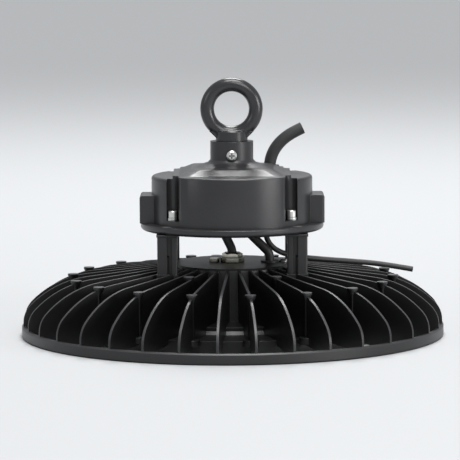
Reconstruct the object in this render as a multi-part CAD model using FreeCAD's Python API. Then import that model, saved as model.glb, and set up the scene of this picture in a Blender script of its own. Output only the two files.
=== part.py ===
"""LED high bay light: finned heat sink, round driver housing on four posts above it, lifting eye on top.

Millimetres. The origin is the centre of the rim's lower edge, +Z points up to the eye and -Y is the front.
"""

import FreeCAD, Part
import math
import os

Vec = FreeCAD.Vector
UP = Vec(0, 0, 1)
FRONT = Vec(0, -1, 0)

# Clearances.
SLIDE_FIT = 0.1  # a shank or spigot in its hole
CORD_FIT = 0.5  # a lead in its bore
SEAT_GAP = 0.3  # a trimmed casting beside what stands on it
OVER = 1.0  # how far a cutting solid runs past what it cuts
LAP = 1.0  # how far the forms of one casting run into each other
NEAR = 0.01  # how close an edge lies to the level it is picked by

# Heat sink: rim, base plate, hub.
RIM_RADIUS = 152.5
RIM_WALL = 3.0
RIM_HEIGHT = 8.0
RIM_EDGE = 1.0
BASE_LIP = 8.0  # the base plate's outer wall around the cover
BASE_WALL = 3.0
STEP_RADIUS = 80.0
STEP_HEIGHT = 5.0
STEP_CHAMFER = 2.4
HUB_TOP = 52.0
HUB_TOP_RADIUS = 44.0
HUB_TAPER = 4.0
HUB_WALL = 6.0
HUB_ROOF = 5.0
HUB_EDGE = 1.5

# Fins and the ejector pins cast into every second one.
FIN_COUNT = 36
FIN_FIRST_DEG = 6.0
FIN_THICK = 1.8
FIN_INSET = 1.0  # outer edge inside the rim's outer face
FIN_SHOULDER_Z = 10.8
FIN_SHOULDER_RADIUS = 18.0
FIN_SLOPE = 0.12
FIN_HUB_DROP = 1.1  # crown below the hub's top where they meet
FIN_FOOT_RISE = 2.0
PIN_OUTSET = 4.0  # beyond the base plate's edge
PIN_HEAD_RADIUS = 3.9
PIN_HEAD_THICK = 1.2
PIN_STEM_RADIUS = 1.7
PIN_CONE = 4.5
PIN_DROP = 8.8  # head below the hub's top
PIN_PAD_RADIUS = 5.5
PIN_PAD_THICK = 1.5
TALL_PIN_INSET = 10.0  # inside the step's edge
TALL_PIN_DEG = 26.0
TALL_PIN_DROP = 2.6

# Posts between the heat sink and the driver housing.
POST_DEG = 50.1
POST_OUTSET = 2.1  # beyond the housing's side
POST_WIDTH = 15.4
POST_DEPTH = 12.0
POST_EDGE = 1.5
POST_LEDGE = 0.5
POST_CAP = 1.5
POST_GROOVE_WIDTH = 3.6
POST_GROOVE_SHIFT = 1.4  # towards the light's middle
POST_GROOVE_DEPTH = 3.0
POST_SINK = 3.5  # foot below the hub's top
POST_HEIGHT = 28.2

# Driver housing and the round plate under it.
FLANGE_REACH = 8.0  # the plate's edge beyond the housing
PLATE_THICK = 5.2
PLATE_SKIN = 1.0  # left under the housing's screws
PLATE_LOWER_EDGE = 2.6
PLATE_UPPER_EDGE = 0.7
HOUSING_RADIUS = 58.0
HOUSING_WALL = 5.0
FACE_HEIGHT = 35.6  # front and rear sectors above the plate
FACE_EDGE = 1.2
LOBE_HEIGHT = 33.6  # left and right sectors above the plate
LOBE_EDGE = 2.2
ROOF_WALL = 3.6
DOME_INSET = 19.0  # foot inside the housing's side
DOME_BATTER = 10.0
DOME_RISE = 4.0
DOME_CORNER = 7.0
CROWN_RISE = 3.2
TURRET_RADIUS = 15.5
TURRET_FOOT = 2.0
TURRET_HEIGHT = 15.3
LUG_OUTSET = 8.4
LUG_HALF_WIDTH = 15.0
LUG_HEIGHT = 20.0
LUG_CORNER = 2.0
LUG_HOLE_HEIGHT = 10.0
LUG_THREAD_RADIUS = 4.0
LUG_THREAD_DEPTH = 11.0
CHANNEL_DEG = 52.0
CHANNEL_RADIUS = 4.3
CHANNEL_MOUTH = 9.0  # rounding of the front sector's corner beside a channel
CHANNEL_INSET = 4.5
CHANNEL_WALL = 3.5
CHANNEL_FLOOR = 4.0
SEAL_INSET = 1.0
SEAL_WIDTH = 3.0
SEAL_THICK = 1.6
SEAL_SQUEEZE = 0.4

# Lifting eye and its locking screw.
EYE_OUTER = 22.5
EYE_HOLE = 12.5
EYE_COLLAR_RADIUS = 11.5
EYE_COLLAR_HEIGHT = 8.0
EYE_COLLAR_EDGE = 1.2
EYE_LIFT = 0.5  # the ring's outer circle above the turret
EYE_WEB = 8.0
EYE_SHANK_RADIUS = 5.0
EYE_SHANK_LENGTH = 18.0
LOCK_HEIGHT = 9.6
LOCK_SPOT_DEPTH = 0.8
LOCK_HEAD_RADIUS = 3.75
LOCK_HEAD_THICK = 2.4
LOCK_SHANK_RADIUS = 2.0
LOCK_SLOT_LENGTH = 4.0
LOCK_SLOT_WIDTH = 0.9
LOCK_SLOT_DEPTH = 1.1

# Screws that hold the pieces together.
HOUSING_SCREW = dict(shank=2.5, head=3.6, head_thick=5.0, length=10.0, socket=4.0, socket_deep=2.7, edge=0.4)
WASHER_RADIUS = 4.0
WASHER_THICK = 2.0
POST_FOOT_SCREW = dict(shank=2.5, head=4.2, head_thick=4.0, length=22.0, socket=4.0, socket_deep=2.2,
                       edge=0.4)
POST_FOOT_WEB = 10.0
POST_HEAD_SCREW = dict(shank=2.0, head=3.6, head_thick=2.4, length=14.0)
BOARD_SCREW = dict(shank=1.5, head=2.7, head_thick=1.6, length=4.0)
BOARD_SCREW_COUNT = 6
BOARD_SCREW_INSET = 5.0
RING_SCREW = dict(shank=1.5, head=2.6, head_thick=1.2, length=6.0)
RING_SCREW_COUNT = 12

# Light source and its cover.
BOARD_INSET = 6.0  # the board's edge inside the cover's
BOARD_THICK = 1.6
LED_SIDE = 3.2
LED_THICK = 0.7
LED_RING_COUNT = 3
LED_RING_INSET = 18.0
LED_RING_PITCH = 22.0
LED_PITCH = 13.8
COVER_RADIUS = 104.0
COVER_THICK = 2.0
COVER_BOTTOM = 2.2
COVER_SEAL_WIDTH = 4.2
COVER_SEAL_THICK = 0.8
RING_THICK = 1.4
RING_INSET = 5.5  # over the cover's edge
RING_EDGE = 0.5  # inside the base plate's edge

# Driver inside the housing.
DRIVER_BOARD_ROOM = 2.0
DRIVER_BOARD_THICK = 1.6
DRIVER_STANDOFF = 5.0
STANDOFF_RADIUS = 4.0
STANDOFF_INSET = 6.0
DRIVER_RADIUS = 36.0
DRIVER_HEIGHT = 20.0

# Leads, glands and what else stands on the hub.
LEAD_RADIUS = 3.2
LEAD_BEND = 3.6  # how far each bend of a lead reaches along its runs
LEAD_A_PLATE = (-7.0, 0.0)
LEAD_A_HUB = (0.0, 0.0)
LEAD_A_DROP = 1.4
LEAD_A_RISE = 9.0
LEAD_B_PLATE = (11.0, 0.0)
LEAD_B_INSET = 17.0  # inside the hub's edge
LEAD_B_DROP = 2.4
LEAD_B_RISE = 6.5
GROMMET_WALL = 1.4
GROMMET_LIP = 1.4
GROMMET_LIP_THICK = 1.2
GLAND_ACROSS = 15.0
GLAND_BODY_HEIGHT = 3.6
GLAND_NUT_ACROSS = 13.0
GLAND_NUT_HEIGHT = 3.8
GLAND_NUT_SLOPE = 1.2
GLAND_SPIGOT_RADIUS = 5.8
VENT_X = -13.0
VENT_ACROSS = 6.5
VENT_HEIGHT = 3.0
VENT_SHANK_RADIUS = 2.3
EARTH_INSET = 7.0
EARTH_SCREW = dict(shank=2.0, head=3.2, head_thick=2.2, length=6.0)

# Free cords: radius and the points of each route.
MAINS_RADIUS = 4.4
MAINS_EXIT = (27.65, 33.0)
MAINS_GROMMET_RADIUS = 7.0
MAINS_GROMMET_RISE = 2.0
MAINS_RELIEF = 8.0  # how far its hole runs down beside the screw channel
MAINS_ROUTE = (
    (26.9, 32.6, 104.0), (27.5, 33.0, 112.8), (27.8, 33.0, 121.3), (30.0, 33.0, 128.7), (34.2, 33.1, 135.0),
    (39.8, 33.3, 140.1), (46.4, 33.6, 144.0), (51.8, 34.0, 146.5),
)
DIM_RADIUS = 2.0
DIM_EXIT = (24.0, 18.0)
DIM_GROMMET_RADIUS = 4.5
DIM_GROMMET_DROP = 2.0
DIM_ROUTE = (
    (24.0, 18.0, 79.0), (24.0, 18.0, 70.0), (27.4, 18.8, 62.0), (35.0, 20.8, 56.2), (48.0, 24.0, 52.6),
    (66.0, 30.2, 50.0), (89.0, 37.6, 47.4), (111.0, 41.2, 44.9), (133.0, 41.4, 40.8),
)

# Levels that follow from the sizes above, from the cover's face up.
COVER_TOP = COVER_BOTTOM + COVER_THICK
BOARD_Z = COVER_TOP + BOARD_SCREW["head_thick"] + SLIDE_FIT
BOARD_SEAT_Z = BOARD_Z + BOARD_THICK
BASE_TOP = BOARD_SEAT_Z + BASE_WALL
POST_FOOT_Z = HUB_TOP - POST_SINK
PLATE_Z = POST_FOOT_Z + POST_HEIGHT
HOUSING_Z = PLATE_Z + PLATE_THICK
ROOM_TOP = HOUSING_Z + LOBE_HEIGHT - ROOF_WALL
ROOF_Z = HOUSING_Z + FACE_HEIGHT
DOME_Z = ROOF_Z + DOME_RISE
TURRET_Z = DOME_Z + CROWN_RISE + TURRET_HEIGHT
HUB_ROOF_Z = HUB_TOP - HUB_ROOF

# Radii and places that follow.
BASE_RADIUS = COVER_RADIUS + BASE_LIP
BOARD_RADIUS = COVER_RADIUS - BOARD_INSET
RING_SCREW_CIRCLE = COVER_RADIUS + BASE_LIP / 2
CHANNEL_CENTRE = HOUSING_RADIUS - CHANNEL_INSET
DRIVER_BOARD_RADIUS = CHANNEL_CENTRE - CHANNEL_RADIUS - CHANNEL_WALL - DRIVER_BOARD_ROOM
LUG_REACH = HOUSING_RADIUS + LUG_OUTSET
LEAD_B_HUB = (HUB_TOP_RADIUS - LEAD_B_INSET, 0.0)
GROMMET_HOLE = LEAD_RADIUS + CORD_FIT + GROMMET_WALL + SLIDE_FIT


def around(radius, angle):
    """Point on a circle, with the angle measured from the front towards +X."""
    return radius * math.sin(angle), -radius * math.cos(angle)


def four_ways(degrees):
    """The angles of four places that mirror each other front to rear and left to right."""
    return [math.radians(a) for a in (degrees, 180 - degrees, 180 + degrees, 360 - degrees)]


CHANNEL_ANGLES = four_ways(CHANNEL_DEG)
POST_SPOTS = dict(zip(("front_right", "rear_right", "rear_left", "front_left"),
                      [around(HOUSING_RADIUS + POST_OUTSET, a) for a in four_ways(POST_DEG)]))


def cylinder(radius, bottom, top, x=0.0, y=0.0):
    """Upright cylinder between two levels."""
    return Part.makeCylinder(radius, top - bottom, Vec(x, y, bottom))


def block(x0, x1, y0, y1, z0, z1):
    """Box between two corners."""
    return Part.makeBox(x1 - x0, y1 - y0, z1 - z0, Vec(x0, y0, z0))


def fuse(shapes):
    """One clean solid from several that overlap."""
    return shapes[0].multiFuse(shapes[1:]).removeSplitter()


def turned(points):
    """Solid of revolution about Z from a closed outline of (radius, level)."""
    outline = Part.makePolygon([Vec(r, 0, z) for r, z in points + points[:1]])
    return Part.Face(outline).revolve(Vec(0, 0, 0), UP, 360)


def hexagon(across, bottom, top):
    """Upright hexagonal prism by its width across flats."""
    corner = across / math.sqrt(3)
    ring = [Vec(corner * math.cos(k * math.pi / 3), corner * math.sin(k * math.pi / 3), bottom)
            for k in range(7)]
    return Part.Face(Part.makePolygon(ring)).extrude(Vec(0, 0, top - bottom))


def level_edges(shape, z):
    """Edges that lie wholly at one level."""
    return [e for e in shape.Edges if e.BoundBox.ZMin > z - NEAR and e.BoundBox.ZMax < z + NEAR]


def moved(shape, x, y, z=0.0):
    """The shape carried to a place."""
    copy = shape.copy()
    copy.translate(Vec(x, y, z))
    return copy


def circle_spots(radius, count, first):
    """Evenly spaced places on a circle."""
    return [around(radius, first + k * 2 * math.pi / count) for k in range(count)]


def socket_screw(sizes):
    """Cap screw standing on z = 0: head above with a hexagon socket, shank below."""
    top, edge = sizes["head_thick"], sizes["edge"]
    body = turned([(0, top), (sizes["head"] - edge, top), (sizes["head"], top - edge), (sizes["head"], 0),
                   (sizes["shank"], 0), (sizes["shank"], -sizes["length"]), (0, -sizes["length"])])
    return body.cut(hexagon(sizes["socket"], top - sizes["socket_deep"], top + OVER))


def countersunk_screw(sizes):
    """Flat head screw with its head's face at z = 0 and its shank below."""
    return turned([(0, 0), (sizes["head"], 0), (sizes["shank"], -sizes["head_thick"]),
                   (sizes["shank"], -sizes["length"]), (0, -sizes["length"])])


def countersink(sizes):
    """Hole for a countersunk screw whose head's face is at z = 0."""
    shank = sizes["shank"] + SLIDE_FIT
    head = sizes["head"] + SLIDE_FIT
    return turned([(0, OVER), (head, OVER), (head, 0), (shank, -sizes["head_thick"]),
                   (shank, -sizes["length"] - OVER), (0, -sizes["length"] - OVER)])


def pan_screw(sizes):
    """Pan head screw standing on z = 0: bevelled head above, shank below."""
    top = sizes["head_thick"]
    return turned([(0, top), (sizes["head"] - top / 2, top), (sizes["head"], top / 2), (sizes["head"], 0),
                   (sizes["shank"], 0), (sizes["shank"], -sizes["length"]), (0, -sizes["length"])])


def fin():
    """Upright fin in the XZ plane from hub to rim, its crown two tangent arcs and a straight slope.

    The crown's radius brings the slope to the hub just below its top.
    """
    outer = RIM_RADIUS - FIN_INSET
    root = HUB_TOP_RADIUS - HUB_WALL / 2
    shoulder = Vec(outer - FIN_SHOULDER_RADIUS, 0, FIN_SHOULDER_Z)
    diagonal = Vec(math.sqrt(0.5), 0, math.sqrt(0.5))
    joint = shoulder + diagonal * FIN_SHOULDER_RADIUS
    end_angle = math.pi / 2 - math.atan(FIN_SLOPE)
    root_top = Vec(root, 0, HUB_TOP - FIN_HUB_DROP + FIN_SLOPE * (HUB_TOP_RADIUS - root))
    rise = root_top.z - joint.z - FIN_SLOPE * (joint.x - root)
    crown_radius = rise / (math.sin(end_angle) - diagonal.z + FIN_SLOPE * (math.cos(end_angle) - diagonal.x))
    crown = joint - diagonal * crown_radius

    def on_arc(centre, radius, angle):
        return centre + Vec(radius * math.cos(angle), 0, radius * math.sin(angle))

    crest = on_arc(crown, crown_radius, end_angle)
    foot = Vec(outer, 0, FIN_FOOT_RISE)
    base = Vec(BASE_RADIUS - LAP, 0, BOARD_SEAT_Z)
    floor = BASE_TOP - LAP
    edges = [
        Part.LineSegment(foot, Vec(outer, 0, FIN_SHOULDER_Z)).toShape(),
        Part.Arc(Vec(outer, 0, FIN_SHOULDER_Z), on_arc(shoulder, FIN_SHOULDER_RADIUS, math.pi / 8),
                 joint).toShape(),
        Part.Arc(joint, on_arc(crown, crown_radius, (math.pi / 4 + end_angle) / 2), crest).toShape(),
        Part.LineSegment(crest, root_top).toShape(),
        Part.LineSegment(root_top, Vec(root, 0, floor)).toShape(),
        Part.LineSegment(Vec(root, 0, floor), Vec(base.x, 0, floor)).toShape(),
        Part.LineSegment(Vec(base.x, 0, floor), base).toShape(),
        Part.LineSegment(base, foot).toShape(),
    ]
    plate = Part.Face(Part.Wire(edges)).extrude(Vec(0, FIN_THICK, 0))
    plate.translate(Vec(0, -FIN_THICK / 2, 0))
    return plate


def ejector_pin(top, pad):
    """Pin cast beside the fins: flat head, cone under it, slim stem and, on the outer ones, a round pad."""
    outline = [(0, top), (PIN_HEAD_RADIUS, top), (PIN_HEAD_RADIUS, top - PIN_HEAD_THICK),
               (PIN_STEM_RADIUS, top - PIN_HEAD_THICK - PIN_CONE)]
    if pad:
        outline += [(PIN_STEM_RADIUS, BASE_TOP + PIN_PAD_THICK), (PIN_PAD_RADIUS, BASE_TOP + PIN_PAD_THICK),
                    (PIN_PAD_RADIUS, BOARD_SEAT_Z), (0, BOARD_SEAT_Z)]
    else:
        outline += [(PIN_STEM_RADIUS, BASE_TOP - LAP), (0, BASE_TOP - LAP)]
    return turned(outline)


def heat_sink():
    """The one-piece aluminium casting: rim band, base plate, hub, fins, pins and post bosses."""
    rim_in = RIM_RADIUS - RIM_WALL
    rim = turned([(rim_in, 0), (RIM_RADIUS - RIM_EDGE, 0), (RIM_RADIUS, RIM_EDGE),
                  (RIM_RADIUS, RIM_HEIGHT - RIM_EDGE), (RIM_RADIUS - RIM_EDGE, RIM_HEIGHT),
                  (rim_in, RIM_HEIGHT)])
    step_top = BASE_TOP + STEP_HEIGHT
    board_pocket, cover_pocket = BOARD_RADIUS + SLIDE_FIT, COVER_RADIUS + SLIDE_FIT
    seal_seat = COVER_TOP + COVER_SEAL_THICK
    base = turned([
        (0, BOARD_SEAT_Z), (board_pocket, BOARD_SEAT_Z), (board_pocket, seal_seat), (cover_pocket, seal_seat),
        (cover_pocket, COVER_BOTTOM), (BASE_RADIUS, COVER_BOTTOM), (BASE_RADIUS, BASE_TOP),
        (STEP_RADIUS + STEP_CHAMFER, BASE_TOP), (STEP_RADIUS, BASE_TOP + STEP_CHAMFER),
        (STEP_RADIUS, step_top), (0, step_top),
    ])
    hub = turned([(0, BASE_TOP), (HUB_TOP_RADIUS + HUB_TAPER, BASE_TOP), (HUB_TOP_RADIUS, HUB_TOP - HUB_EDGE),
                  (HUB_TOP_RADIUS - HUB_EDGE, HUB_TOP), (0, HUB_TOP)])
    parts = [base, rim, hub]
    blade = fin()
    for k in range(FIN_COUNT):
        angle = FIN_FIRST_DEG + k * 360.0 / FIN_COUNT
        turned_blade = blade.copy()
        turned_blade.rotate(Vec(0, 0, 0), UP, angle - 90)
        parts.append(turned_blade)
        if k % 2 == 0:
            spot = around(BASE_RADIUS + PIN_OUTSET, math.radians(angle))
            parts.append(moved(ejector_pin(HUB_TOP - PIN_DROP, True), *spot))
    for angle in four_ways(TALL_PIN_DEG):
        spot = around(STEP_RADIUS - TALL_PIN_INSET, angle)
        parts.append(moved(ejector_pin(HUB_TOP - TALL_PIN_DROP, False), *spot))
    half_w, half_d = POST_WIDTH / 2, POST_DEPTH / 2
    for x, y in POST_SPOTS.values():
        parts.append(block(x - half_w, x + half_w, y - half_d, y + half_d, BASE_TOP - LAP, POST_FOOT_Z))
    casting = fuse(parts)

    holes = [cylinder(HUB_TOP_RADIUS - HUB_WALL, 0, HUB_ROOF_Z)]
    clear_w, clear_d = half_w + SEAT_GAP, half_d + SEAT_GAP
    screw = POST_FOOT_SCREW
    for x, y in POST_SPOTS.values():
        holes.append(block(x - clear_w, x + clear_w, y - clear_d, y + clear_d, POST_FOOT_Z, HUB_TOP + OVER))
        holes.append(cylinder(screw["shank"] + SLIDE_FIT, 0, POST_FOOT_Z + OVER, x, y))
        holes.append(cylinder(screw["head"] + SEAT_GAP, 0, POST_FOOT_Z - POST_FOOT_WEB, x, y))
    for radius, spot in ((GLAND_SPIGOT_RADIUS, LEAD_A_HUB), (VENT_SHANK_RADIUS, (VENT_X, 0))):
        holes.append(cylinder(radius + SLIDE_FIT, HUB_ROOF_Z - OVER, HUB_TOP + OVER, *spot))
    holes.append(cylinder(GROMMET_HOLE, HUB_ROOF_Z - OVER, HUB_TOP + OVER, *LEAD_B_HUB))
    holes.append(cylinder(EARTH_SCREW["shank"] + SLIDE_FIT, HUB_TOP - EARTH_SCREW["length"] - OVER,
                          HUB_TOP + OVER, HUB_TOP_RADIUS - EARTH_INSET, 0))
    for x, y in board_screw_spots():
        holes.append(cylinder(BOARD_SCREW["shank"] + SLIDE_FIT, 0, BOARD_Z + BOARD_SCREW["length"], x, y))
    for x, y in ring_screw_spots():
        holes.append(cylinder(RING_SCREW["shank"] + SLIDE_FIT, 0, COVER_BOTTOM + RING_SCREW["length"], x, y))
    return casting.cut(holes)


def board_screw_spots():
    """The board's screws stand near its edge."""
    return circle_spots(BOARD_RADIUS - BOARD_SCREW_INSET, BOARD_SCREW_COUNT, 0.0)


def ring_screw_spots():
    """The cover ring's screws stand midway across the base plate's outer wall."""
    return circle_spots(RING_SCREW_CIRCLE, RING_SCREW_COUNT, math.pi / RING_SCREW_COUNT)


def post(x, y):
    """Cast post: square-edged column with a narrow ledge at its head and a groove down its outward face."""
    half_w, half_d = POST_WIDTH / 2, POST_DEPTH / 2
    cap = PLATE_Z - POST_CAP
    shaft = block(-half_w + POST_LEDGE, half_w - POST_LEDGE, -half_d + POST_LEDGE, half_d - POST_LEDGE,
                  POST_FOOT_Z, PLATE_Z)
    upright = [e for e in shaft.Edges if e.BoundBox.ZLength > POST_HEIGHT / 2]
    shaft = shaft.makeFillet(POST_EDGE, upright)
    column = fuse([shaft, block(-half_w, half_w, -half_d, half_d, cap, PLATE_Z)])
    half_groove, deep = POST_GROOVE_WIDTH / 2, POST_GROOVE_DEPTH + POST_LEDGE
    middle = -math.copysign(POST_GROOVE_SHIFT, x)
    groove = block(middle - half_groove, middle + half_groove, half_d - deep, half_d + OVER,
                   POST_FOOT_Z - OVER, cap)
    if y < 0:
        groove = groove.mirror(Vec(0, 0, 0), Vec(0, 1, 0))
    column = moved(column.cut(groove), x, y)
    depth = POST_FOOT_SCREW["length"] - POST_FOOT_WEB + OVER
    lower = cylinder(POST_FOOT_SCREW["shank"] + SLIDE_FIT, POST_FOOT_Z - OVER, POST_FOOT_Z + depth, x, y)
    reach = POST_HEAD_SCREW["length"] - PLATE_THICK + OVER
    upper = cylinder(POST_HEAD_SCREW["shank"] + SLIDE_FIT, PLATE_Z - reach, PLATE_Z + OVER, x, y)
    return column.cut([lower, upper])


def channel(radius, bottom, top, angle):
    """Upright round-bottomed slot at one screw of the housing, running out to the front or to the rear."""
    x, y = around(CHANNEL_CENTRE, angle)
    end = math.copysign(HOUSING_RADIUS, y)
    run = block(x - radius, x + radius, min(y, end), max(y, end), bottom, top)
    return fuse([cylinder(radius, bottom, top, x, y), run])


def channel_cuts(bottom, top):
    """The four screw channels as cut, each with the rounded corner of the sector beside it."""
    x, y = around(CHANNEL_CENTRE, CHANNEL_ANGLES[0])
    wall, reach = x - CHANNEL_RADIUS, HOUSING_RADIUS + OVER
    away = HOUSING_RADIUS + SEAT_GAP / 2 - CHANNEL_MOUTH
    centre = Vec(wall - CHANNEL_MOUTH, -math.sqrt(away ** 2 - (wall - CHANNEL_MOUTH) ** 2), bottom)
    outward = Vec(centre.x, centre.y, 0).normalize()
    half_turn = Vec(1 + outward.x, outward.y, 0).normalize()
    first, last = centre + Vec(CHANNEL_MOUTH, 0, 0), centre + outward * CHANNEL_MOUTH
    corners = [last, outward * reach + Vec(0, 0, bottom), Vec(x + CHANNEL_RADIUS, -reach, bottom),
               Vec(x + CHANNEL_RADIUS, y, bottom)]
    outline = [Part.Arc(first, centre + half_turn * CHANNEL_MOUTH, last).toShape()]
    outline += [Part.LineSegment(a, b).toShape() for a, b in zip(corners, corners[1:])]
    outline.append(Part.Arc(corners[-1], Vec(x, y + CHANNEL_RADIUS, bottom), Vec(wall, y, bottom)).toShape())
    outline.append(Part.LineSegment(Vec(wall, y, bottom), first).toShape())
    right = Part.Face(Part.Wire(outline)).extrude(Vec(0, 0, top - bottom))
    left = right.mirror(Vec(0, 0, 0), Vec(1, 0, 0))
    return [right, left] + [c.mirror(Vec(0, 0, 0), Vec(0, 1, 0)) for c in (right, left)]


def chamber(grow, bottom, top):
    """Room inside the housing: a round space narrowed by the walls of the four screw channels."""
    room = cylinder(HOUSING_RADIUS - HOUSING_WALL + grow, bottom, top)
    walls = [channel(CHANNEL_RADIUS + CHANNEL_WALL - grow, bottom - OVER, top + OVER, a)
             for a in CHANNEL_ANGLES]
    return room.cut(walls)


def rounded_square(half, corner, z):
    """Wire of a square with round corners."""
    inner = half - corner
    turn = corner * math.sqrt(0.5)
    edges = []
    for k in range(4):
        c, s = math.cos(k * math.pi / 2), math.sin(k * math.pi / 2)

        def spot(x, y):
            return Vec(x * c - y * s, x * s + y * c, z)

        edges.append(Part.LineSegment(spot(half, -inner), spot(half, inner)).toShape())
        middle = spot(inner + turn, inner + turn)
        edges.append(Part.Arc(spot(half, inner), middle, spot(inner, half)).toShape())
    return Part.Wire(edges)


def driver_housing():
    """The cast cover over the driver: screw channels, bracket lugs, low dome and the turret for the eye."""
    def drum(height, edge):
        body = cylinder(HOUSING_RADIUS, HOUSING_Z, HOUSING_Z + height)
        return body.makeFillet(edge, level_edges(body, HOUSING_Z + height))

    half, wide = around(CHANNEL_CENTRE, CHANNEL_ANGLES[0])[0], HOUSING_RADIUS + OVER
    faces = drum(FACE_HEIGHT, FACE_EDGE).common(block(-half, half, -wide, wide, HOUSING_Z, ROOF_Z + OVER))
    dome_foot = HOUSING_RADIUS - DOME_INSET
    dome_top = dome_foot - DOME_BATTER
    dome = Part.makeLoft([rounded_square(dome_foot, DOME_CORNER, ROOF_Z - LAP / 2),
                          rounded_square(dome_top, DOME_CORNER, DOME_Z)], True, True)
    crown_z = DOME_Z + CROWN_RISE
    foot = TURRET_RADIUS + TURRET_FOOT
    turret = turned([(0, DOME_Z - LAP), (dome_top - LAP, DOME_Z - LAP), (dome_top - LAP, DOME_Z),
                     (foot, crown_z), (TURRET_RADIUS, crown_z + TURRET_FOOT), (TURRET_RADIUS, TURRET_Z),
                     (0, TURRET_Z)])
    shapes = [faces, drum(LOBE_HEIGHT, LOBE_EDGE), dome, turret]
    half = LUG_HALF_WIDTH
    lug = block(HOUSING_RADIUS - HOUSING_WALL, LUG_REACH, -half, half, HOUSING_Z, HOUSING_Z + LUG_HEIGHT)
    outer = [e for e in lug.Edges
             if e.BoundBox.XMin > LUG_REACH - NEAR and e.BoundBox.ZMax > HOUSING_Z + NEAR]
    lug = lug.makeFillet(LUG_CORNER, outer)
    shapes += [lug, lug.mirror(Vec(0, 0, 0), Vec(1, 0, 0))]
    shell = fuse(shapes)

    floor = HOUSING_Z + CHANNEL_FLOOR
    cuts = [chamber(0, HOUSING_Z - OVER, ROOM_TOP)] + channel_cuts(floor, DOME_Z + OVER)
    screw_hole = HOUSING_SCREW["shank"] + SLIDE_FIT
    for angle in CHANNEL_ANGLES:
        cuts.append(cylinder(screw_hole, HOUSING_Z - OVER, floor + OVER, *around(CHANNEL_CENTRE, angle)))
    for side in (-1, 1):
        mouth = Vec(side * (LUG_REACH + OVER), 0, HOUSING_Z + LUG_HOLE_HEIGHT)
        cuts.append(Part.makeCylinder(LUG_THREAD_RADIUS, LUG_THREAD_DEPTH + OVER, mouth, Vec(-side, 0, 0)))
    cuts.append(cylinder(EYE_SHANK_RADIUS + SLIDE_FIT, TURRET_Z - EYE_SHANK_LENGTH - OVER, TURRET_Z + OVER))
    lock = Vec(0, 0, TURRET_Z - LOCK_HEIGHT)
    seat = TURRET_RADIUS - LOCK_SPOT_DEPTH
    cuts.append(Part.makeCylinder(LOCK_SHANK_RADIUS + SLIDE_FIT, TURRET_RADIUS + OVER, lock, FRONT))
    cuts.append(Part.makeCylinder(LOCK_HEAD_RADIUS + SEAT_GAP, LOCK_HEAD_THICK + OVER, lock + FRONT * seat,
                                  FRONT))
    cuts.append(cylinder(MAINS_RADIUS + GROMMET_WALL + SLIDE_FIT, ROOM_TOP - MAINS_RELIEF, DOME_Z + OVER,
                         *MAINS_EXIT))
    cuts.append(cylinder(MAINS_GROMMET_RADIUS + SLIDE_FIT, ROOF_Z, DOME_Z + OVER, *MAINS_EXIT))
    return shell.cut(cuts)


def housing_screws():
    """Four socket screws at the foot of the channels and the washers under their heads."""
    seat = HOUSING_Z + CHANNEL_FLOOR
    washer = cylinder(WASHER_RADIUS, seat, seat + WASHER_THICK)
    washer = washer.cut(cylinder(HOUSING_SCREW["shank"] + SLIDE_FIT, seat - OVER, seat + WASHER_THICK + OVER))
    screw = moved(socket_screw(HOUSING_SCREW), 0, 0, seat + WASHER_THICK)
    spots = [around(CHANNEL_CENTRE, a) for a in CHANNEL_ANGLES]
    return [moved(screw, *s) for s in spots], [moved(washer, *s) for s in spots]


def housing_plate():
    """Round plate that closes the housing from below and stands on the posts."""
    disc = cylinder(HOUSING_RADIUS + FLANGE_REACH, PLATE_Z, HOUSING_Z)
    disc = disc.makeFillet(PLATE_LOWER_EDGE, level_edges(disc, PLATE_Z))
    disc = disc.makeFillet(PLATE_UPPER_EDGE, level_edges(disc, HOUSING_Z))
    pillars = [cylinder(STANDOFF_RADIUS, HOUSING_Z - LAP, HOUSING_Z + DRIVER_STANDOFF, *s)
               for s in circle_spots(DRIVER_BOARD_RADIUS - STANDOFF_INSET, 4, math.pi / 4)]
    plate = fuse([disc] + pillars)
    cuts = [seal_ring(SLIDE_FIT, HOUSING_Z - SEAL_THICK + SEAL_SQUEEZE, HOUSING_Z + OVER)]
    for angle in CHANNEL_ANGLES:
        cuts.append(cylinder(HOUSING_SCREW["shank"] + SLIDE_FIT, PLATE_Z + PLATE_SKIN, HOUSING_Z + OVER,
                             *around(CHANNEL_CENTRE, angle)))
    for x, y in POST_SPOTS.values():
        cuts.append(moved(countersink(POST_HEAD_SCREW), x, y, HOUSING_Z))
    dim_hole = DIM_RADIUS + GROMMET_WALL + SLIDE_FIT
    for radius, spot in ((GROMMET_HOLE, LEAD_A_PLATE), (GROMMET_HOLE, LEAD_B_PLATE), (dim_hole, DIM_EXIT)):
        cuts.append(cylinder(radius, PLATE_Z - OVER, HOUSING_Z + OVER, *spot))
    return plate.cut(cuts)


def seal_ring(grow, bottom, top):
    """Ring that follows the housing's room, just inside its wall's foot."""
    outer = chamber(SEAL_INSET + SEAL_WIDTH + grow, bottom, top)
    return outer.cut(chamber(SEAL_INSET - grow, bottom - OVER, top + OVER))


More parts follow.
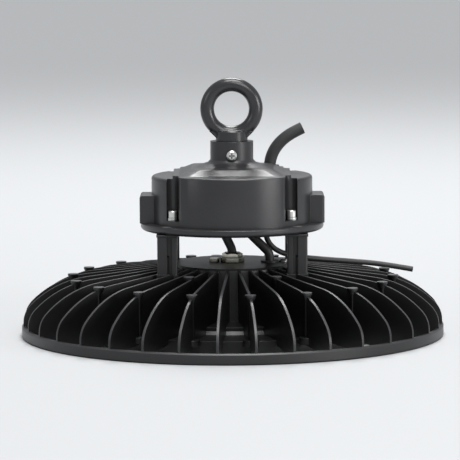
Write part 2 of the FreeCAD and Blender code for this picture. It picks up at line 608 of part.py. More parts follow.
def eye_bolt():
    """Lifting eye: ring, tapered web, round collar and the shank that screws into the turret."""
    centre = TURRET_Z + EYE_LIFT + EYE_OUTER
    section = (EYE_OUTER - EYE_HOLE) / 2
    ring = Part.makeTorus(EYE_HOLE + section, section, Vec(0, 0, centre), Vec(0, 1, 0))
    collar_top = TURRET_Z + EYE_COLLAR_HEIGHT
    collar = cylinder(EYE_COLLAR_RADIUS, TURRET_Z, collar_top)
    collar = collar.makeChamfer(EYE_COLLAR_EDGE, level_edges(collar, collar_top))
    tangent = EYE_OUTER * math.sqrt(0.5)
    shoulder = centre - tangent
    waist = EYE_COLLAR_RADIUS - LAP / 2
    low = shoulder - (tangent - waist)
    outline = [Vec(-tangent, -EYE_WEB / 2, shoulder), Vec(-waist, -EYE_WEB / 2, low),
               Vec(waist, -EYE_WEB / 2, low), Vec(tangent, -EYE_WEB / 2, shoulder)]
    web = Part.Face(Part.makePolygon(outline + outline[:1])).extrude(Vec(0, EYE_WEB, 0))
    shank = cylinder(EYE_SHANK_RADIUS, TURRET_Z - EYE_SHANK_LENGTH, TURRET_Z + LAP)
    hole = Part.makeCylinder(EYE_HOLE, 2 * EYE_OUTER, Vec(0, -EYE_OUTER, centre), Vec(0, 1, 0))
    return fuse([ring, collar, web.cut(hole), shank])


def neck_locking_screw():
    """Pan head screw across the turret that stops the eye from turning."""
    seat = TURRET_RADIUS - LOCK_SPOT_DEPTH
    screw = pan_screw(dict(head=LOCK_HEAD_RADIUS, head_thick=LOCK_HEAD_THICK, shank=LOCK_SHANK_RADIUS,
                           length=seat - EYE_SHANK_RADIUS - SEAT_GAP))
    bed, face = LOCK_HEAD_THICK - LOCK_SLOT_DEPTH, LOCK_HEAD_THICK + OVER
    long, short = LOCK_SLOT_LENGTH / 2, LOCK_SLOT_WIDTH / 2
    screw = screw.cut([block(-w, w, -h, h, bed, face) for w, h in ((long, short), (short, long))])
    screw.rotate(Vec(0, 0, 0), Vec(1, 0, 0), 90)
    return moved(screw, 0, -seat, TURRET_Z - LOCK_HEIGHT)


def led_chips():
    """Rings of square LED packages under the board."""
    half = LED_SIDE / 2
    chips = []
    for ring in range(LED_RING_COUNT):
        radius = BOARD_RADIUS - LED_RING_INSET - ring * LED_RING_PITCH
        chip = block(radius - half, radius + half, -half, half, BOARD_Z - LED_THICK, BOARD_Z)
        count = round(2 * math.pi * radius / LED_PITCH)
        for k in range(count):
            turned_chip = chip.copy()
            turned_chip.rotate(Vec(0, 0, 0), UP, 360.0 * (k + 0.5) / count)
            chips.append(turned_chip)
    return chips


def light_source():
    """Board, packages, seal, clear cover, clamp ring and screws on the casting's underside."""
    board_spots, ring_spots = board_screw_spots(), ring_screw_spots()
    board = cylinder(BOARD_RADIUS, BOARD_Z, BOARD_SEAT_Z)
    board = board.cut([cylinder(BOARD_SCREW["shank"] + SLIDE_FIT, BOARD_Z - OVER, BOARD_SEAT_Z + OVER, *s)
                       for s in board_spots])
    board_screw = pan_screw(BOARD_SCREW)
    board_screw.rotate(Vec(0, 0, 0), Vec(1, 0, 0), 180)
    seal_top = COVER_TOP + COVER_SEAL_THICK
    seal = cylinder(COVER_RADIUS, COVER_TOP, seal_top)
    seal = seal.cut(cylinder(COVER_RADIUS - COVER_SEAL_WIDTH, COVER_TOP - OVER, seal_top + OVER))
    ring = cylinder(BASE_RADIUS - RING_EDGE, COVER_BOTTOM - RING_THICK, COVER_BOTTOM)
    ring = ring.cut(cylinder(COVER_RADIUS - RING_INSET, 0, COVER_BOTTOM + OVER))
    flat_screw, flat_hole = countersunk_screw(RING_SCREW), countersink(RING_SCREW)
    for piece in (flat_screw, flat_hole):
        piece.rotate(Vec(0, 0, 0), Vec(1, 0, 0), 180)
        piece.translate(Vec(0, 0, COVER_BOTTOM - RING_THICK))
    return {
        "led_board": board,
        "led_chips": led_chips(),
        "led_board_screws": [moved(board_screw, *s, BOARD_Z) for s in board_spots],
        "cover_seal": seal,
        "cover_plate": cylinder(COVER_RADIUS, COVER_BOTTOM, COVER_TOP),
        "cover_ring": ring.cut([moved(flat_hole, *s) for s in ring_spots]),
        "cover_ring_screws": [moved(flat_screw, *s) for s in ring_spots],
    }


def driver():
    """Driver board on the plate's pillars with its potted module."""
    bottom = HOUSING_Z + DRIVER_STANDOFF
    top = bottom + DRIVER_BOARD_THICK
    return {
        "driver_board": cylinder(DRIVER_BOARD_RADIUS, bottom, top),
        "driver_module": cylinder(DRIVER_RADIUS, top, top + DRIVER_HEIGHT),
    }


def grommet(bore, bottom, top):
    """Rubber ring with a lip at both faces of the plate that it lines."""
    neck = bore + GROMMET_WALL
    lip = neck + GROMMET_LIP
    return turned([(bore, bottom - GROMMET_LIP_THICK), (lip, bottom - GROMMET_LIP_THICK), (lip, bottom),
                   (neck, bottom), (neck, top), (lip, top), (lip, top + GROMMET_LIP_THICK),
                   (bore, top + GROMMET_LIP_THICK)])


def hub_fittings():
    """Gland, grommet, breather and earth screw on the hub."""
    bore = LEAD_RADIUS + CORD_FIT
    body_top = HUB_TOP + GLAND_BODY_HEIGHT
    nut_top = body_top + GLAND_NUT_HEIGHT
    body = fuse([hexagon(GLAND_ACROSS, HUB_TOP, body_top),
                 cylinder(GLAND_SPIGOT_RADIUS, HUB_ROOF_Z, HUB_TOP + LAP)])
    nut = hexagon(GLAND_NUT_ACROSS, body_top, nut_top)
    corner, shoulder = GLAND_NUT_ACROSS / math.sqrt(3), GLAND_NUT_ACROSS / 2 - GLAND_NUT_SLOPE
    slope = turned([(0, body_top), (corner, body_top), (corner, nut_top - GLAND_NUT_SLOPE),
                    (shoulder, nut_top), (0, nut_top)])
    x, y = LEAD_A_HUB
    way = cylinder(bore, HUB_ROOF_Z - OVER, nut_top + OVER)
    vent = fuse([hexagon(VENT_ACROSS, HUB_TOP, HUB_TOP + VENT_HEIGHT),
                 cylinder(VENT_SHANK_RADIUS, HUB_ROOF_Z, HUB_TOP + LAP)])
    return {
        "hub_gland_body": moved(body.cut(way), x, y),
        "hub_gland_nut": moved(nut.common(slope).cut(way), x, y),
        "hub_lead_grommet": moved(grommet(bore, HUB_ROOF_Z, HUB_TOP), *LEAD_B_HUB),
        "breather_plug": moved(vent, VENT_X, 0),
        "earth_screw": moved(pan_screw(EARTH_SCREW), HUB_TOP_RADIUS - EARTH_INSET, 0, HUB_TOP),
    }


def housing_fittings():
    """Grommets of the leads in the plate, and the strain reliefs that the free cords leave."""
    bore = LEAD_RADIUS + CORD_FIT
    lined = grommet(bore, PLATE_Z, HOUSING_Z)
    mains_bore, mains_neck = MAINS_RADIUS + SEAT_GAP, MAINS_RADIUS + GROMMET_WALL
    mains = turned([(mains_bore, ROOM_TOP), (mains_neck, ROOM_TOP), (mains_neck, ROOF_Z),
                    (MAINS_GROMMET_RADIUS, ROOF_Z),
                    (MAINS_GROMMET_RADIUS, ROOF_Z + MAINS_GROMMET_RISE),
                    (mains_bore, ROOF_Z + MAINS_GROMMET_RISE)])
    dim_neck = DIM_RADIUS + GROMMET_WALL
    dim_bore, dim_foot = DIM_RADIUS + SLIDE_FIT, PLATE_Z - DIM_GROMMET_DROP
    dim = turned([(dim_bore, dim_foot), (DIM_GROMMET_RADIUS, dim_foot), (DIM_GROMMET_RADIUS, PLATE_Z),
                  (dim_neck, PLATE_Z), (dim_neck, HOUSING_Z), (dim_bore, HOUSING_Z)])
    return {
        "plate_grommets": [moved(lined, *LEAD_A_PLATE), moved(lined, *LEAD_B_PLATE)],
        "mains_cable_grommet": moved(mains, *MAINS_EXIT),
        "dimming_cable_grommet": moved(dim, *DIM_EXIT),
    }


def cord(name, points, radius, room=math.inf):
    """Round tube along straight runs joined by tangent arcs as large as the runs and the room allow."""
    knots = [Vec(*p) for p in points]
    edges, start, radii = [], knots[0], []
    for before, corner, after in zip(knots, knots[1:], knots[2:]):
        inward, outward = before - corner, after - corner
        reach = min(0.45 * min(inward.Length, outward.Length), room)
        turn = math.pi - inward.getAngle(outward)
        bend = reach / math.tan(turn / 2)
        first = corner + inward.normalize() * reach
        last = corner + outward.normalize() * reach
        bisector = (first + last) * 0.5 - corner
        middle = corner + bisector.normalize() * (bend / math.cos(turn / 2) - bend)
        edges.append(Part.LineSegment(start, first).toShape())
        edges.append(Part.Arc(first, middle, last).toShape())
        start = last
        radii.append(bend)
    edges.append(Part.LineSegment(start, knots[-1]).toShape())
    path = Part.Wire(edges)
    section = Part.Wire(Part.makeCircle(radius, knots[0], knots[1] - knots[0]))
    tube = path.makePipeShell([section], True, False)
    ratio = tube.Volume / (math.pi * radius ** 2 * path.Length)
    print(name, "length %.1f" % path.Length, "volume ratio %.4f" % ratio,
          "radii", " ".join("%.1f" % r for r in radii))
    return tube


def cords():
    """The two free cords and the two leads between the housing and the hub."""
    top = HOUSING_Z + DRIVER_STANDOFF - SEAT_GAP
    foot = BOARD_SEAT_Z + SEAT_GAP
    lead_a = [LEAD_A_PLATE + (top,), LEAD_A_PLATE + (PLATE_Z - LEAD_A_DROP,),
              LEAD_A_HUB + (HUB_TOP + LEAD_A_RISE,), LEAD_A_HUB + (foot,)]
    lead_b = [LEAD_B_PLATE + (top,), LEAD_B_PLATE + (PLATE_Z - LEAD_B_DROP,),
              LEAD_B_HUB + (HUB_TOP + LEAD_B_RISE,), LEAD_B_HUB + (foot,)]
    return {
        "mains_cable": cord("mains_cable", MAINS_ROUTE, MAINS_RADIUS),
        "dimming_cable": cord("dimming_cable", DIM_ROUTE, DIM_RADIUS),
        "led_lead_main": cord("led_lead_main", lead_a, LEAD_RADIUS, LEAD_BEND),
        "led_lead_return": cord("led_lead_return", lead_b, LEAD_RADIUS, LEAD_BEND),
    }


def post_screws():
    """Socket screws up into the posts from the casting's bosses, and flat head screws through the plate."""
    foot = socket_screw(POST_FOOT_SCREW)
    foot.rotate(Vec(0, 0, 0), Vec(1, 0, 0), 180)
    head = countersunk_screw(POST_HEAD_SCREW)
    return {
        "post_foot_screws": [moved(foot, *s, POST_FOOT_Z - POST_FOOT_WEB) for s in POST_SPOTS.values()],
        "post_head_screws": [moved(head, *s, HOUSING_Z) for s in POST_SPOTS.values()],
    }


def build():
    """Every piece by its node's name."""
    screws, washers = housing_screws()
    nodes = {
        "heat_sink": heat_sink(),
        "housing_plate": housing_plate(),
        "housing_seal": seal_ring(0, HOUSING_Z - SEAL_THICK + SEAL_SQUEEZE, HOUSING_Z),
        "driver_housing": driver_housing(),
        "housing_screws": screws,
        "housing_screw_washers": washers,
        "eye_bolt": eye_bolt(),
        "neck_locking_screw": neck_locking_screw(),
    }
    nodes.update({"post_" + name: post(*spot) for name, spot in POST_SPOTS.items()})
    for group in (post_screws(), light_source(), driver(), hub_fittings(), housing_fittings(), cords()):
        nodes.update(group)
    return nodes


os.makedirs("parts", exist_ok=True)
for name, shape in build().items():
    if isinstance(shape, list):
        shape = Part.makeCompound(shape)
    shape.exportStep(os.path.join("parts", name + ".step"))
    print(name, "solids", len(shape.Solids), "volume %.0f" % shape.Volume, "valid", shape.isValid())
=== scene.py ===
"""LED high bay light, finished piece by piece in the order it is put together, in a plain studio."""
import math

import bpy
from mathutils import Matrix, Vector


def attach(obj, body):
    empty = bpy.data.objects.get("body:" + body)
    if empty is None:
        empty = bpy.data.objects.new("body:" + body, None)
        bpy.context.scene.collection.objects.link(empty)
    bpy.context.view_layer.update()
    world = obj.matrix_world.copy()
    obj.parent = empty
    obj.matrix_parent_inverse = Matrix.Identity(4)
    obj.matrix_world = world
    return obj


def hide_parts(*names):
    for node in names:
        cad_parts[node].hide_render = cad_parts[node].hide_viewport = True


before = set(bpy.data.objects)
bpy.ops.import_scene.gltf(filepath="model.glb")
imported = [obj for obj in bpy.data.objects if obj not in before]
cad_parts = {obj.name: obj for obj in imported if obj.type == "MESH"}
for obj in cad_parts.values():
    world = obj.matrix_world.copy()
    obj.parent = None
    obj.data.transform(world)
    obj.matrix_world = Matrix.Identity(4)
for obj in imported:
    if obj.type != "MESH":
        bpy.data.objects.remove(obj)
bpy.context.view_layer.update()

# --- Heat sink ------------------------------------------------------------
# One aluminium die casting: base dish, hub, arched fins, ring walls and rim.
# It is sprayed with a fine black powder coat, which has a satin look on its
# edges and tops. The sides of the fins, and faces close to other walls, are
# painted nearly black as painted shade.
COAT_PEBBLES = 2600.0  # pebbles in a metre
COAT_RELIEF = 0.00003  # and their height in metres
CLOUD_SCALE = 35.0  # drifts of colour and gloss in a metre
FIN_EDGE = 0.0005  # rounding of the fins' edges, in metres
FIN_SHADE_REACH = 0.03  # how near another wall must be for a face to be painted dark as shade, in metres
# colour painted on the fins' sides as painted shade
FIN_SIDE_SHADE_COLOUR = (0.003, 0.003, 0.003)
SIDE_SHADE_START = 0.6  # how far a face is turned sideways when it begins to take the painted side shade
SIDE_SHADE_FULL = 0.9  # and when it takes it in full
# colour painted as shade in hollows, where another wall is near
HOLLOW_SHADE_COLOUR = (0.02, 0.02, 0.02)
HOLLOW_SHADE_FALL = 2.5  # how steeply the painted shade in a hollow darkens
SMOOTH_ANGLE = math.radians(35.0)
WELD_REACH = 0.000001


def coat_grain_group():
    """Height of a fine pebbled surface, and a slow drift for colour and gloss, both between 0 and 1."""
    group = bpy.data.node_groups.new("coat_grain", "ShaderNodeTree")
    group.interface.new_socket("Scale", in_out="INPUT", socket_type="NodeSocketFloat")
    group.interface.new_socket("Height", in_out="OUTPUT", socket_type="NodeSocketFloat")
    group.interface.new_socket("Cloud", in_out="OUTPUT", socket_type="NodeSocketFloat")
    nodes, links = group.nodes, group.links
    entry, leave = nodes.new("NodeGroupInput"), nodes.new("NodeGroupOutput")
    place = nodes.new("ShaderNodeTexCoord")
    pebble = nodes.new("ShaderNodeTexNoise")
    pebble.inputs["Detail"].default_value = 3.0
    cloud = nodes.new("ShaderNodeTexNoise")
    cloud.inputs["Scale"].default_value = CLOUD_SCALE
    cloud.inputs["Detail"].default_value = 4.0
    links.new(place.outputs["Object"], pebble.inputs["Vector"])
    links.new(place.outputs["Object"], cloud.inputs["Vector"])
    links.new(entry.outputs["Scale"], pebble.inputs["Scale"])
    links.new(pebble.outputs["Fac"], leave.inputs["Height"])
    links.new(cloud.outputs["Fac"], leave.inputs["Cloud"])
    return group


def fin_side_shade_group():
    """Mask for painted shade: 1 on faces that look sideways round the casting's axis, as the fins' sides do,
    and 0 on others.
    """
    group = bpy.data.node_groups.new("fin_side_shade", "ShaderNodeTree")
    group.interface.new_socket("Side", in_out="OUTPUT", socket_type="NodeSocketFloat")
    nodes, links = group.nodes, group.links
    leave = nodes.new("NodeGroupOutput")
    place = nodes.new("ShaderNodeTexCoord")
    facing = nodes.new("ShaderNodeNewGeometry")
    flat = nodes.new("ShaderNodeVectorMath")
    flat.operation = "MULTIPLY"
    flat.inputs[1].default_value = (1.0, 1.0, 0.0)
    outward = nodes.new("ShaderNodeVectorMath")
    outward.operation = "NORMALIZE"
    across = nodes.new("ShaderNodeVectorMath")
    across.operation = "CROSS_PRODUCT"
    across.inputs[1].default_value = (0.0, 0.0, 1.0)
    turned = nodes.new("ShaderNodeVectorMath")
    turned.operation = "DOT_PRODUCT"
    either_way = nodes.new("ShaderNodeMath")
    either_way.operation = "ABSOLUTE"
    side = nodes.new("ShaderNodeMapRange")
    side.interpolation_type = "SMOOTHSTEP"
    side.inputs["From Min"].default_value = SIDE_SHADE_START
    side.inputs["From Max"].default_value = SIDE_SHADE_FULL
    links.new(place.outputs["Object"], flat.inputs[0])
    links.new(flat.outputs["Vector"], outward.inputs[0])
    links.new(outward.outputs["Vector"], across.inputs[0])
    links.new(across.outputs["Vector"], turned.inputs[0])
    links.new(facing.outputs["True Normal"], turned.inputs[1])
    links.new(turned.outputs["Value"], either_way.inputs[0])
    links.new(either_way.outputs["Value"], side.inputs["Value"])
    links.new(side.outputs["Result"], leave.inputs["Side"])
    return group


def material(name, **sockets):
    """New material whose Principled shader has the named sockets set: its nodes, links and shader too."""
    made = bpy.data.materials.new(name)
    made.use_nodes = True
    shader = made.node_tree.nodes["Principled BSDF"]
    for key, value in sockets.items():
        shader.inputs[key.replace("_", " ")].default_value = value
    return made, made.node_tree.nodes, made.node_tree.links, shader


def mixed_colour(nodes, links, factor, first, second):
    """Mix of two colours, each a plain colour or another node's output."""
    mix = nodes.new("ShaderNodeMix")
    mix.data_type = "RGBA"
    links.new(factor, mix.inputs["Factor"])
    for socket, colour in (("A", first), ("B", second)):
        if isinstance(colour, tuple):
            mix.inputs[socket].default_value = colour + (1.0,)
        else:
            links.new(colour, mix.inputs[socket])
    return mix.outputs["Result"]


coat_grain = coat_grain_group()
fin_side_shade = fin_side_shade_group()


def coated(name, dark, light, rough, pebbles, relief, edge=0.0, shade_reach=0.0, side_shade=None, **sockets):
    """Finish whose colour and roughness drift between two values, over fine pebbles `relief` metres high.

    Edges are rounded by `edge` metres, faces nearer than `shade_reach` metres to another wall are painted
    dark as painted shade, and those that look sideways round the casting's axis are painted the shade colour
    `side_shade`.
    """
    made, nodes, links, shader = material(name, **sockets)
    grain = nodes.new("ShaderNodeGroup")
    grain.node_tree = coat_grain
    grain.inputs["Scale"].default_value = pebbles
    gloss = nodes.new("ShaderNodeMapRange")
    gloss.inputs["To Min"].default_value, gloss.inputs["To Max"].default_value = rough
    bump = nodes.new("ShaderNodeBump")
    bump.inputs["Distance"].default_value = relief
    bump.inputs["Strength"].default_value = 1.0
    if edge:
        rounding = nodes.new("ShaderNodeBevel")
        rounding.samples = 4
        rounding.inputs["Radius"].default_value = edge
        links.new(rounding.outputs["Normal"], bump.inputs["Normal"])
    links.new(grain.outputs["Cloud"], gloss.inputs["Value"])
    links.new(grain.outputs["Height"], bump.inputs["Height"])
    colour = mixed_colour(nodes, links, grain.outputs["Cloud"], dark, light)
    # Painted shade: faces near another wall are mixed towards a dark colour.
    if shade_reach:
        hollow_shade = nodes.new("ShaderNodeAmbientOcclusion")
        hollow_shade.samples = 6
        hollow_shade.inputs["Distance"].default_value = shade_reach
        hollow_shade_weight = nodes.new("ShaderNodeMath")
        hollow_shade_weight.operation = "POWER"
        hollow_shade_weight.inputs[1].default_value = HOLLOW_SHADE_FALL
        links.new(hollow_shade.outputs["AO"], hollow_shade_weight.inputs[0])
        colour = mixed_colour(nodes, links, hollow_shade_weight.outputs["Value"], side_shade or HOLLOW_SHADE_COLOUR, colour)
    # Painted shade: faces that look sideways round the casting's axis are painted the shade colour.
    if side_shade:
        turned = nodes.new("ShaderNodeGroup")
        turned.node_tree = fin_side_shade
        colour = mixed_colour(nodes, links, turned.outputs["Side"], colour, side_shade)
    links.new(colour, shader.inputs["Base Color"])
    links.new(gloss.outputs["Result"], shader.inputs["Roughness"])
    links.new(bump.outputs["Normal"], shader.inputs["Normal"])
    return made


def finished(node, paint):
    """Welded copy of a piece, smooth on its round faces, which stands for the piece and takes its finish."""
    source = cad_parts[node]
    piece = bpy.data.objects.new(node + "_finish", source.data.copy())
    bpy.context.scene.collection.objects.link(piece)
    bpy.ops.object.select_all(action="DESELECT")
    piece.select_set(True)
    bpy.context.view_layer.objects.active = piece
    bpy.ops.mesh.customdata_custom_splitnormals_clear()
    bpy.ops.object.mode_set(mode="EDIT")
    bpy.ops.mesh.select_all(action="SELECT")
    bpy.ops.mesh.remove_doubles(threshold=WELD_REACH)
    bpy.ops.object.mode_set(mode="OBJECT")
    bpy.ops.object.shade_smooth_by_angle(angle=SMOOTH_ANGLE)
    piece.data.materials.clear()
    piece.data.materials.append(paint)
    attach(piece, "root")
    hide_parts(node)


# Painted shade: the fins' sides and faces near other walls are painted nearly black.
black_coat = coated("black_coat", (0.024, 0.024, 0.026), (0.036, 0.036, 0.038),
                    rough=(0.34, 0.46), pebbles=COAT_PEBBLES, relief=COAT_RELIEF, edge=FIN_EDGE,
                    shade_reach=FIN_SHADE_REACH, side_shade=FIN_SIDE_SHADE_COLOUR)
finished("heat_sink", black_coat)

# --- LED board ------------------------------------------------------------
# Round aluminium board with a white solder mask, screwed up against the heat
# sink. Three rings of square packages on it have a yellow phosphor window in
# a white moulded frame.
METRE = 1000.0  # in millimetres
PACKAGE_SIDE = 3.3
FRAME_WALL = 0.6
FRAME_HEIGHT = 0.15
FRAME_SINK = 0.01  # how far a frame reaches into the package above it
PACKAGE_RINGS = ((80.0, 36), (58.0, 26), (36.0, 16))  # radius and number of packages


def package_frames(top):
    """White frames round the packages' windows, with their tops at a level in millimetres, as one piece."""
    bpy.ops.object.select_all(action="DESELECT")
    bpy.ops.mesh.primitive_plane_add(size=PACKAGE_SIDE / METRE)
    one = bpy.context.object
    bpy.ops.object.mode_set(mode="EDIT")
    bpy.ops.mesh.select_all(action="SELECT")
    bpy.ops.mesh.inset(thickness=FRAME_WALL / METRE)
    bpy.ops.mesh.delete(type="FACE")
    bpy.ops.mesh.select_all(action="SELECT")
    bpy.ops.mesh.extrude_region_move(TRANSFORM_OT_translate={"value": (0.0, 0.0, -FRAME_HEIGHT / METRE)})
    bpy.ops.mesh.select_all(action="SELECT")
    bpy.ops.mesh.normals_make_consistent(inside=False)
    bpy.ops.object.mode_set(mode="OBJECT")
    for radius, count in PACKAGE_RINGS:
        for place in range(count):
            turn = Matrix.Rotation(math.tau * (place + 0.5) / count, 4, "Z")
            copy = bpy.data.objects.new("led_frame", one.data.copy())
            copy.data.transform(turn @ Matrix.Translation((radius / METRE, 0.0, top / METRE)))
            bpy.context.scene.collection.objects.link(copy)
            copy.select_set(True)
    bpy.data.objects.remove(one)
    bpy.context.view_layer.objects.active = copy
    bpy.ops.object.join()
    copy.name = "led_package_frames"
    return copy


solder_mask = coated("white_solder_mask", (0.74, 0.74, 0.71), (0.8, 0.8, 0.78),
                     rough=(0.35, 0.5), pebbles=1800.0, relief=0.00001)
phosphor = coated("led_phosphor", (0.80, 0.62, 0.16), (0.88, 0.72, 0.24),
                  rough=(0.3, 0.4), pebbles=1500.0, relief=0.00001)
smooth_zinc = coated("smooth_zinc", (0.50, 0.50, 0.48), (0.66, 0.66, 0.64),
                     rough=(0.26, 0.44), pebbles=900.0, relief=0.00002, Metallic=1.0)
finished("led_board", solder_mask)
finished("led_chips", phosphor)
finished("led_board_screws", smooth_zinc)
package_bottom = min(v.co.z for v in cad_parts["led_chips"].data.vertices) * METRE
frames = package_frames(package_bottom + FRAME_SINK)
frames.data.materials.append(solder_mask)
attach(frames, "root")

# --- Clear cover and its clamping ring ------------------------------------
# Flat polycarbonate cover on a silicone seal. A black powder-coated ring,
# screwed to the base plate from below, clamps its edge.
silicone = coated("grey_silicone", (0.30, 0.30, 0.30), (0.36, 0.36, 0.36),
                  rough=(0.5, 0.65), pebbles=1200.0, relief=0.00002)
clear = coated("clear_polycarbonate", (0.94, 0.95, 0.95), (0.97, 0.98, 0.98),
               rough=(0.03, 0.08), pebbles=300.0, relief=0.000004, Transmission_Weight=1.0, IOR=1.58)
CASTING_EDGE = 0.0006  # rounding of the cast edges under the coat
powder_coat = coated("powder_coat", (0.016, 0.016, 0.017), (0.025, 0.025, 0.027),
                     rough=(0.25, 0.37), pebbles=COAT_PEBBLES, relief=COAT_RELIEF, edge=CASTING_EDGE)
finished("cover_seal", silicone)
finished("cover_plate", clear)
finished("cover_ring", powder_coat)
finished("cover_ring_screws", smooth_zinc)

# --- Hub fittings ---------------------------------------------------------
# Nickel-plated brass gland and breather plug, screwed into the hub's top
# with a zinc-plated earth screw, and the rubber grommet of the second lead.
FITTING_EDGE = 0.0004
# faces this near another wall are painted dark, as painted shade in the fittings' hollows
SCREW_SHADE_REACH = 0.0016
nickel = coated("nickel_plate", (0.46, 0.44, 0.37), (0.64, 0.62, 0.54),
                rough=(0.14, 0.28), pebbles=700.0, relief=0.00002, edge=FITTING_EDGE,
                shade_reach=SCREW_SHADE_REACH, Metallic=1.0)
zinc = coated("zinc_plate", (0.58, 0.58, 0.56), (0.74, 0.74, 0.72),
              rough=(0.26, 0.44), pebbles=900.0, relief=0.00002, shade_reach=SCREW_SHADE_REACH, Metallic=1.0)
rubber = coated("black_rubber", (0.016, 0.016, 0.017), (0.03, 0.03, 0.031),
                rough=(0.42, 0.58), pebbles=1500.0, relief=0.00003)
for node in ("hub_gland_body", "hub_gland_nut", "breather_plug"):
    finished(node, nickel)
finished("earth_screw", zinc)
finished("hub_lead_grommet", rubber)

# --- Posts ----------------------------------------------------------------
# Four cast posts stand on the hub under a slightly duller powder coat, whose
# colour is painted darker than the housing's as painted shade under the plate.
# A black socket screw holds each from below, through the heat sink.
# darker colour than the housing's powder coat, as painted shade under the plate
shaded_post_coat = coated("shaded_post_coat", (0.010, 0.010, 0.011), (0.016, 0.016, 0.017),
                   rough=(0.34, 0.48), pebbles=COAT_PEBBLES, relief=COAT_RELIEF, edge=CASTING_EDGE)
for corner in ("front_left", "front_right", "rear_left", "rear_right"):
    finished("post_" + corner, shaded_post_coat)
finished("post_foot_screws", black_coat)

# --- Plate under the housing ----------------------------------------------
# Round powder-coated plate, held to the posts by countersunk zinc-plated
# screws. Rubber grommets line the holes of the two leads.
finished("housing_plate", powder_coat)
finished("post_head_screws", zinc)
finished("plate_grommets", rubber)

# --- Driver ---------------------------------------------------------------
# Green circuit board on the plate's pillars, with the power supply potted in
# black resin on top of it.
board_green = coated("board_green", (0.02, 0.10, 0.05), (0.03, 0.14, 0.07),
                     rough=(0.35, 0.5), pebbles=1500.0, relief=0.00001)
resin = coated("potting_resin", (0.02, 0.02, 0.02), (0.03, 0.03, 0.03),
               rough=(0.3, 0.5), pebbles=600.0, relief=0.00002)
finished("driver_board", board_green)
finished("driver_module", resin)

# --- Leads to the LED board -----------------------------------------------
# Two rubber-sheathed leads from the driver, which come down out of the plate
# and go into the hub, one through the gland and one through the grommet.
finished("led_lead_main", rubber)
finished("led_lead_return", rubber)

# --- Driver housing -------------------------------------------------------
# Cast cover over the driver, powder-coated, on a silicone seal. Four socket
# screws with spring washers hold it to the plate from its channels' feet.
finished("housing_seal", silicone)
finished("driver_housing", powder_coat)
finished("housing_screws", zinc)
finished("housing_screw_washers", zinc)

# --- Hanging eye ----------------------------------------------------------
# Forged steel eye, screwed into the neck on the housing's roof, under a
# glossier black coat. A zinc-plated pan head screw through the neck locks it.
eye_coat = coated("eye_coat", (0.016, 0.016, 0.017), (0.026, 0.026, 0.028),
                  rough=(0.18, 0.30), pebbles=COAT_PEBBLES, relief=0.00002, edge=CASTING_EDGE)
finished("eye_bolt", eye_coat)
finished("neck_locking_screw", zinc)

# --- Mains cable ----------------------------------------------------------
# Round rubber cable that stands up out of its grommet in the housing's roof
# and is cut off just above it. Its cut end shows three insulated copper cores.
CORE_LENGTH = 0.0016  # metres, as the two sizes below
CORE_PROUD = 0.00005  # how far the insulation stands out of the cut sheath
COPPER_PROUD = 0.0001  # and the copper out of the insulation
INSULATION_SHARE = 0.4  # of a core's radius


def free_cable(name, node, route, diameter):
    """Round cable on a smooth spline that runs from its grommet to its cut end; route in millimetres."""
    curve = bpy.data.curves.new(name, "CURVE")
    curve.dimensions = "3D"
    curve.bevel_depth = 1.0  # times each point's radius, which is the cable's own
    curve.bevel_resolution = 6
    curve.resolution_u = 12
    curve.use_fill_caps = True
    spline = curve.splines.new("NURBS")
    spline.points.add(len(route) - 1)
    for point, place in zip(spline.points, route):
        point.co = (place[0] / METRE, place[1] / METRE, place[2] / METRE, 1.0)
        point.radius = diameter / 2.0
    spline.use_endpoint_u = True
    spline.order_u = 3
    cable = bpy.data.objects.new(name, curve)
    bpy.context.scene.collection.objects.link(cable)
    cable.data.materials.append(rubber)
    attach(cable, "root")
    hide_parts(node)


def cut_cores(name, route, ring, radius, paints):
    """Insulated cores with their copper on a ring in a cable's cut end; ring and radius in metres."""
    end = Vector(route[-1]) / METRE
    out = (Vector(route[-1]) - Vector(route[-2])).to_track_quat("Z", "Y").to_matrix().to_4x4()
    core_top = CORE_LENGTH / 2.0
    for place, paint in enumerate(paints):
        bpy.ops.object.select_all(action="DESELECT")
        bpy.ops.mesh.primitive_cylinder_add(vertices=24, radius=radius, depth=CORE_LENGTH)
        core = bpy.context.object
        core.name = name + "_" + paint.name
        for face in core.data.polygons:
            face.select = face.normal.z > 0.9
        bpy.ops.object.mode_set(mode="EDIT")
        bpy.ops.mesh.inset(thickness=radius * INSULATION_SHARE)
        bpy.ops.mesh.extrude_region_move(TRANSFORM_OT_translate={"value": (0.0, 0.0, COPPER_PROUD)})
        bpy.ops.object.mode_set(mode="OBJECT")
        core.data.materials.append(paint)
        core.data.materials.append(copper)
        for face in core.data.polygons:
            face.material_index = 1 if face.center.z > core_top + COPPER_PROUD / 10.0 else 0
        turn = math.tau * place / len(paints)
        aside = Matrix.Translation((ring * math.cos(turn), ring * math.sin(turn), CORE_PROUD - core_top))
        core.data.transform(Matrix.Translation(end) @ out @ aside)
        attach(core, "root")


def insulation(name, dark, light):
    """Smooth coloured plastic round a core."""
    return coated(name, dark, light, rough=(0.35, 0.45), pebbles=1500.0, relief=0.00001)


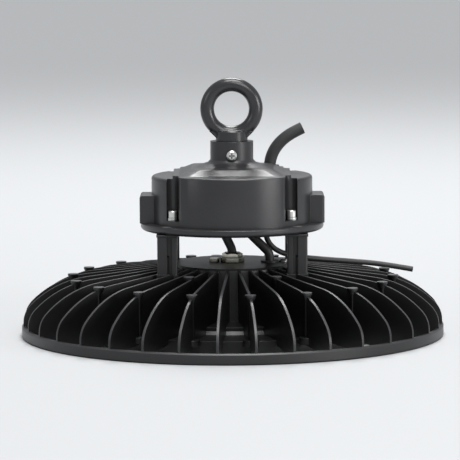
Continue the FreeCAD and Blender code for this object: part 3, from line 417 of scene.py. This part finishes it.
copper = coated("copper_strand", (0.72, 0.36, 0.22), (0.82, 0.45, 0.30),
                rough=(0.25, 0.4), pebbles=1800.0, relief=0.00003, Metallic=1.0)
core_brown = insulation("core_brown", (0.10, 0.045, 0.02), (0.13, 0.06, 0.03))
core_blue = insulation("core_blue", (0.02, 0.10, 0.38), (0.03, 0.13, 0.45))
core_green = insulation("core_green", (0.05, 0.30, 0.06), (0.55, 0.50, 0.05))
mains_route = (
    (26.9, 32.6, 104.0), (27.5, 33.0, 112.8), (27.8, 33.0, 121.3), (30.0, 33.0, 128.7), (34.2, 33.1, 135.0),
    (39.8, 33.3, 140.1), (46.4, 33.6, 144.0), (51.8, 34.0, 146.5),
)
finished("mains_cable_grommet", rubber)
free_cable("mains_flex", "mains_cable", mains_route, diameter=0.0088)
cut_cores("mains_core", mains_route, ring=0.0019, radius=0.0014, paints=(core_brown, core_blue, core_green))

# --- Dimming cable --------------------------------------------------------
# Thin rubber cable that comes down out of its grommet in the plate and runs
# out over the fins to its cut end, with two thin cores.
core_grey = insulation("core_grey", (0.28, 0.28, 0.28), (0.34, 0.34, 0.34))
dimming_route = (
    (24.0, 18.0, 79.0), (24.0, 18.0, 70.0), (27.4, 18.8, 62.0), (35.0, 20.8, 56.2), (48.0, 24.0, 52.6),
    (66.0, 30.2, 50.0), (89.0, 37.6, 47.4), (111.0, 41.2, 44.9), (133.0, 41.4, 40.8),
)
finished("dimming_cable_grommet", rubber)
free_cable("dimming_flex", "dimming_cable", dimming_route, diameter=0.004)
cut_cores("dimming_core", dimming_route, ring=0.0008, radius=0.00065, paints=(core_grey, core_brown))

# --- Camera ---------------------------------------------------------------
# A long lens a little over two metres in front of the light and slightly
# above it, leaning less than a degree to one side.
CAMERA_PLACE = (-0.0016, -2.155, 0.3155)
CAMERA_DIP = 6.36  # degrees
CAMERA_LEAN = -0.35
camera_data = bpy.data.cameras.new("camera")
camera_data.lens = 234.8
camera_data.sensor_width = 36.0
camera = bpy.data.objects.new("camera", camera_data)
bpy.context.scene.collection.objects.link(camera)
camera.matrix_world = (Matrix.Translation(CAMERA_PLACE)
                       @ Matrix.Rotation(math.radians(90.0 - CAMERA_DIP), 4, "X")
                       @ Matrix.Rotation(math.radians(CAMERA_LEAN), 4, "Z"))
bpy.context.scene.camera = camera

# --- Studio ---------------------------------------------------------------
# A pale floor that runs back past the top of the view, soft lamps at both
# sides, in front and behind, and an even overhead light from a wide angle.
FLOOR_SIZE = 90.0
AIM = Vector((0.0, 0.0, 0.08))
SURROUND_LIGHT = 0.22  # strength of the surround as a light
SURROUND_SEEN = 0.48  # and as it is seen, also in gloss and through the clear cover
bpy.ops.object.select_all(action="DESELECT")
bpy.ops.mesh.primitive_plane_add(size=FLOOR_SIZE, location=(0.0, 0.0, 0.0))
floor = bpy.context.object
floor.name = "floor"
floor.data.materials.append(material("floor_paint", Base_Color=(0.46, 0.47, 0.48, 1.0), Roughness=0.75)[0])


def lamp(name, kind, place, energy):
    """Lamp of the given kind that points at the middle of the light."""
    data = bpy.data.lights.new(name, kind)
    data.energy = energy
    made = bpy.data.objects.new(name, data)
    made.location = place
    made.rotation_euler = (AIM - Vector(place)).to_track_quat("-Z", "Y").to_euler()
    bpy.context.scene.collection.objects.link(made)
    return data


lamp("lamp_left", "AREA", place=(-1.7, -1.1, 0.9), energy=3.5).size = 0.7
lamp("lamp_right", "AREA", place=(1.9, -1.3, 0.5), energy=20.0).size = 0.9
lamp("lamp_back", "AREA", place=(0.1, 1.35, 1.75), energy=30.0).size = 0.9
lamp("lamp_front", "AREA", place=(0.6, -1.65, 1.45), energy=17.0).size = 1.1
lamp("lamp_overhead", "SUN", place=(0.1, -0.4, 1.7), energy=2.5).angle = math.radians(34.0)

world = bpy.data.worlds.new("surround")
world.use_nodes = True
air, air_links = world.node_tree.nodes, world.node_tree.links
air["Background"].inputs["Color"].default_value = (0.95, 0.97, 1.0, 1.0)
ray = air.new("ShaderNodeLightPath")
seen = ray.outputs["Is Camera Ray"]
for way in ("Is Glossy Ray", "Is Transmission Ray"):
    either = air.new("ShaderNodeMath")
    either.operation = "MAXIMUM"
    air_links.new(seen, either.inputs[0])
    air_links.new(ray.outputs[way], either.inputs[1])
    seen = either.outputs["Value"]
strength = air.new("ShaderNodeMapRange")
strength.inputs["To Min"].default_value = SURROUND_LIGHT
strength.inputs["To Max"].default_value = SURROUND_SEEN
air_links.new(seen, strength.inputs["Value"])
air_links.new(strength.outputs["Result"], air["Background"].inputs["Strength"])
bpy.context.scene.world = world
bpy.context.scene.view_settings.view_transform = "Standard"
